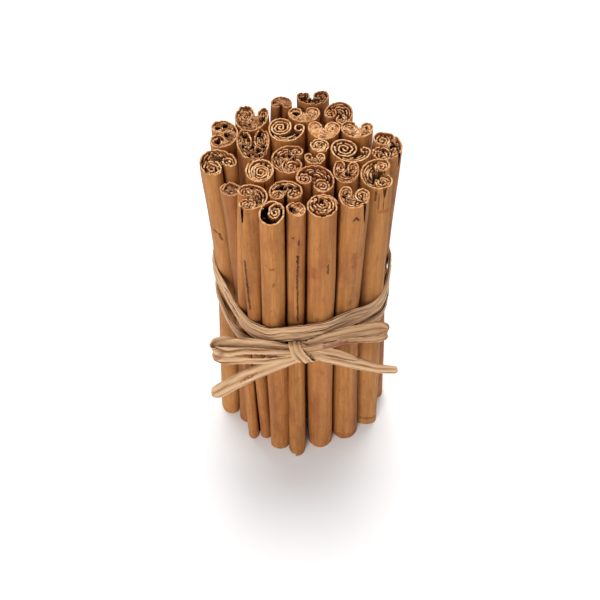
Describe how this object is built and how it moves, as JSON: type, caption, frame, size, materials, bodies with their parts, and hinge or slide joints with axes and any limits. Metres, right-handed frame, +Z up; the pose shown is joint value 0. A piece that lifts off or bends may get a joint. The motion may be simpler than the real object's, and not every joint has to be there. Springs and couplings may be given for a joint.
{
  "type": "bundle of cinnamon sticks",
  "caption": "Upright bundle of rolled cinnamon bark sticks, cut level at both ends and held round the waist by raffia ribbon tied in a flat bow; stands on its cut ends.",
  "frame": {"origin": "bottom centre of the bundle's box, on the surface that the sticks' cut ends stand on", "axes": "+Z up along the sticks, -Y towards the knot and bow, +X to the right seen from the knot's side"},
  "size_m": [0.0546, 0.0586, 0.1008],
  "materials": {
    "bark": "dry matt rolled bark, warm tan sides with fine lengthwise grain, paler crumbly cut ends",
    "raffia": "matt pleated raffia ribbon with a faint silky sheen"
  },
  "bodies": {
    "root": {"stick_01": "bark", "stick_02": "bark", "stick_03": "bark", "stick_04": "bark", "stick_05": "bark", "stick_06": "bark", "stick_07": "bark", "stick_08": "bark", "stick_09": "bark", "stick_10": "bark", "stick_11": "bark", "stick_12": "bark", "stick_13": "bark", "stick_14": "bark", "stick_15": "bark", "stick_16": "bark", "stick_17": "bark", "stick_18": "bark", "stick_19": "bark", "stick_20": "bark", "stick_21": "bark", "stick_22": "bark", "stick_23": "bark", "stick_24": "bark", "stick_25": "bark", "stick_26": "bark", "stick_27": "bark", "tie_upper_winding": "raffia", "tie_lower_winding": "raffia", "tie_knot": "raffia", "tie_left_loop": "raffia", "tie_right_loop": "raffia", "tie_left_tail": "raffia", "tie_right_tail": "raffia"}
  },
  "joints": []
}
